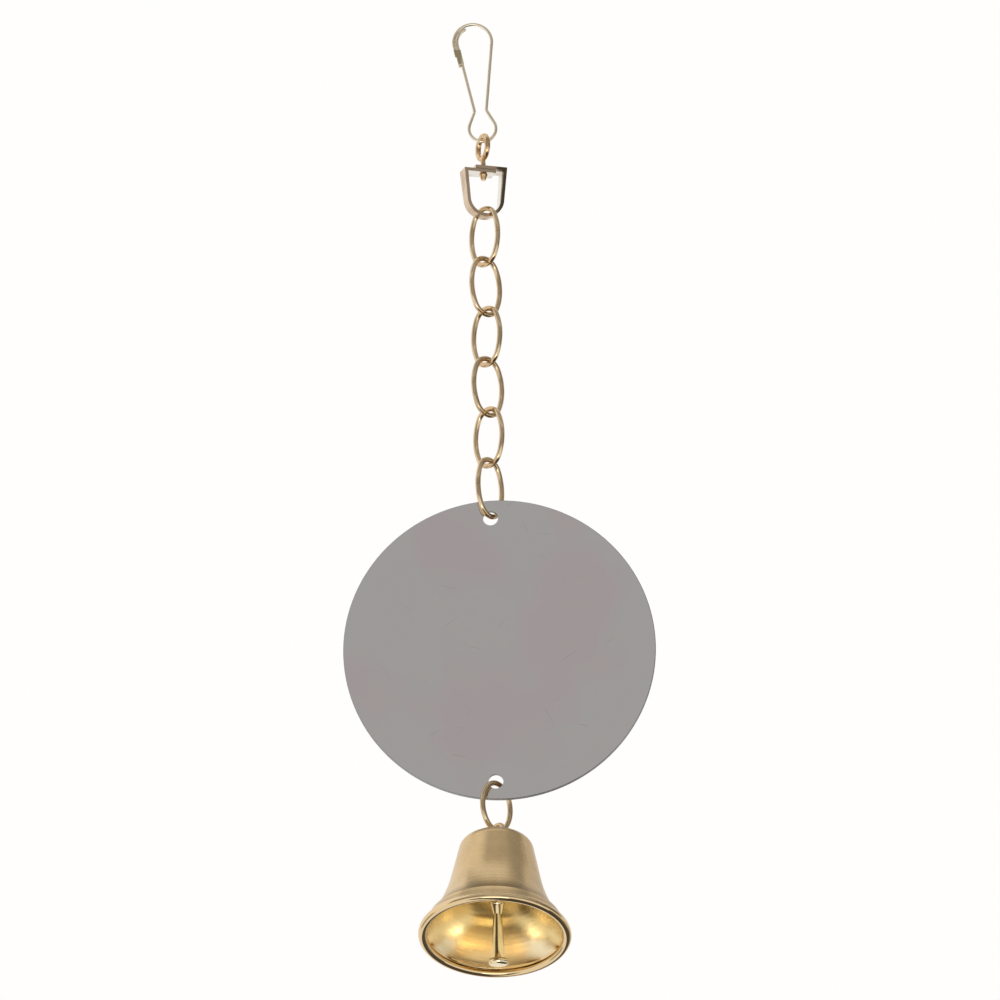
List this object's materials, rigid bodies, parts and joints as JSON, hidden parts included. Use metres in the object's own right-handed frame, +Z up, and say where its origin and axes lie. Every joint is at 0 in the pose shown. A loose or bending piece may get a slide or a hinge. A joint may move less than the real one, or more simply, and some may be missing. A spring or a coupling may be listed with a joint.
{
  "type": "bird mirror",
  "caption": "Hanging toy for a cage bird: a spring snap hook and swivel carry a chain of oval links, a round mirror and a flared bell with a clapper.",
  "frame": {"origin": "the point inside the top of the hook's arch that bears on the cage", "axes": "+Z up along the hanging chain, +X across the mirror, +Y through the mirror and away from the viewer"},
  "size_m": [0.075, 0.0347, 0.241],
  "materials": {
    "hook_wire": "satin",
    "swivel_brass": "satin",
    "chain_brass": "polished",
    "mirror": "polished",
    "bell_brass": "satin",
    "clapper_brass": "polished"
  },
  "bodies": {
    "hook": {"snap_hook": "hook_wire"},
    "gate": {"hook_gate": "hook_wire"},
    "swivel": {"swivel_eye": "swivel_brass"},
    "bracket": {"swivel_bracket": "swivel_brass"},
    "link_1": {"chain_link_1": "chain_brass"},
    "link_2": {"chain_link_2": "chain_brass"},
    "link_3": {"chain_link_3": "chain_brass"},
    "link_4": {"chain_link_4": "chain_brass"},
    "link_5": {"chain_link_5": "chain_brass"},
    "link_6": {"chain_link_6": "chain_brass"},
    "mirror": {"mirror_disc": "mirror"},
    "bell_hanger": {"bell_link": "chain_brass"},
    "bell": {"bell_loop": "chain_brass", "bell_shell": "bell_brass"},
    "clapper": {"clapper_eye": "clapper_brass", "clapper_striker": "clapper_brass"}
  },
  "joints": [
    {"name": "gate_spring", "type": "hinge", "parent": "hook", "child": "gate", "pos_m": [0.00043, 0, -0.02226], "axis": [0, 1, 0], "range_deg": [0, 10], "stiffness_Nm_per_rad": 0.16, "springref_deg": -2.86},
    {"name": "swivel_swing", "type": "hinge", "parent": "hook", "child": "swivel", "pos_m": [0.00238, 0, -0.03052], "axis": [1, 0, 0], "range_deg": [-45, 45]},
    {"name": "swivel_spin", "type": "hinge", "parent": "swivel", "child": "bracket", "pos_m": [0.00238, 0, -0.03757], "axis": [0, 0, 1], "continuous": true},
    {"name": "link_1_swing", "type": "hinge", "parent": "bracket", "child": "link_1", "pos_m": [0.00238, 0, -0.04825], "axis": [0.7071, -0.7071, 0], "range_deg": [-40, 40]},
    {"name": "link_2_swing", "type": "hinge", "parent": "link_1", "child": "link_2", "pos_m": [0.00238, 0, -0.0612], "axis": [0.7071, 0.7071, 0], "range_deg": [-60, 60]},
    {"name": "link_3_swing", "type": "hinge", "parent": "link_2", "child": "link_3", "pos_m": [0.00238, 0, -0.07415], "axis": [-0.7071, 0.7071, 0], "range_deg": [-60, 60]},
    {"name": "link_4_swing", "type": "hinge", "parent": "link_3", "child": "link_4", "pos_m": [0.00238, 0, -0.0871], "axis": [-0.7071, -0.7071, 0], "range_deg": [-60, 60]},
    {"name": "link_5_swing", "type": "hinge", "parent": "link_4", "child": "link_5", "pos_m": [0.00238, 0, -0.10005], "axis": [0.7071, -0.7071, 0], "range_deg": [-60, 60]},
    {"name": "link_6_swing", "type": "hinge", "parent": "link_5", "child": "link_6", "pos_m": [0.00238, 0, -0.113], "axis": [0.5878, 0.809, 0], "range_deg": [-60, 60]},
    {"name": "mirror_swing", "type": "hinge", "parent": "link_6", "child": "mirror", "pos_m": [0.00238, 0, -0.1274], "axis": [-0.5878, -0.809, 0], "range_deg": [-20, 20]},
    {"name": "bell_link_swing", "type": "hinge", "parent": "mirror", "child": "bell_hanger", "pos_m": [0.00238, 0, -0.19437], "axis": [-0.682, -0.7314, 0], "range_deg": [-15, 15]},
    {"name": "bell_swing", "type": "hinge", "parent": "bell_hanger", "child": "bell", "pos_m": [0.00238, 0, -0.20477], "axis": [0.7363, -0.6522, 0.1802], "range_deg": [-25, 50]},
    {"name": "clapper_swing", "type": "hinge", "parent": "bell", "child": "clapper", "pos_m": [0.00217, -0.00246, -0.2128], "axis": [0.7363, -0.6522, 0.1802], "range_deg": [-42, 15]}
  ]
}
